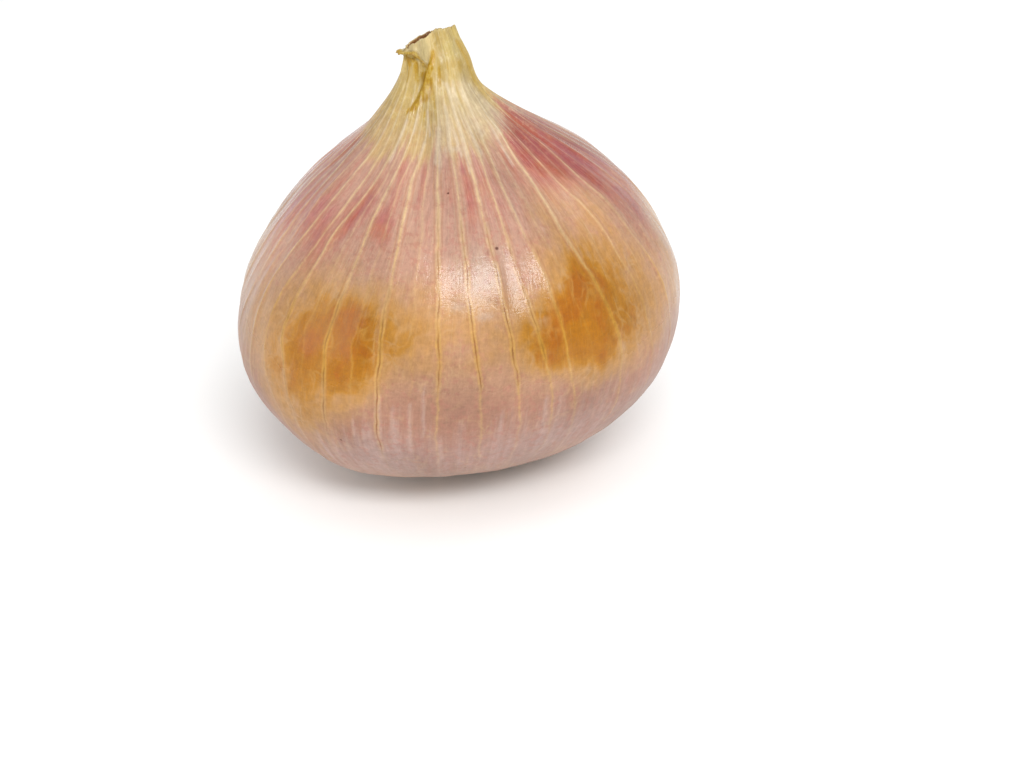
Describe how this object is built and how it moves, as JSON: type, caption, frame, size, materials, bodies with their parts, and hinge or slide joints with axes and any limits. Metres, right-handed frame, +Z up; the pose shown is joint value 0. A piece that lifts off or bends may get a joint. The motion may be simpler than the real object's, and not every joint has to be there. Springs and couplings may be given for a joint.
{
  "type": "red onion",
  "caption": "Whole cured red onion: round bulb in dry papery rose and straw skin, with a pinched dry neck, standing upright on a small flat root plate.",
  "frame": {"origin": "centre of the bulb's box, on the plane that it stands on", "axes": "+Z up through the neck, -Y the front, +X to the right seen from the front"},
  "size_m": [0.0755, 0.0754, 0.0753],
  "materials": {
    "papery_skin": "dry papery onion skin, satin, rose and straw with paler veins"
  },
  "bodies": {
    "root": {"onion_bulb": "papery_skin"}
  },
  "joints": []
}
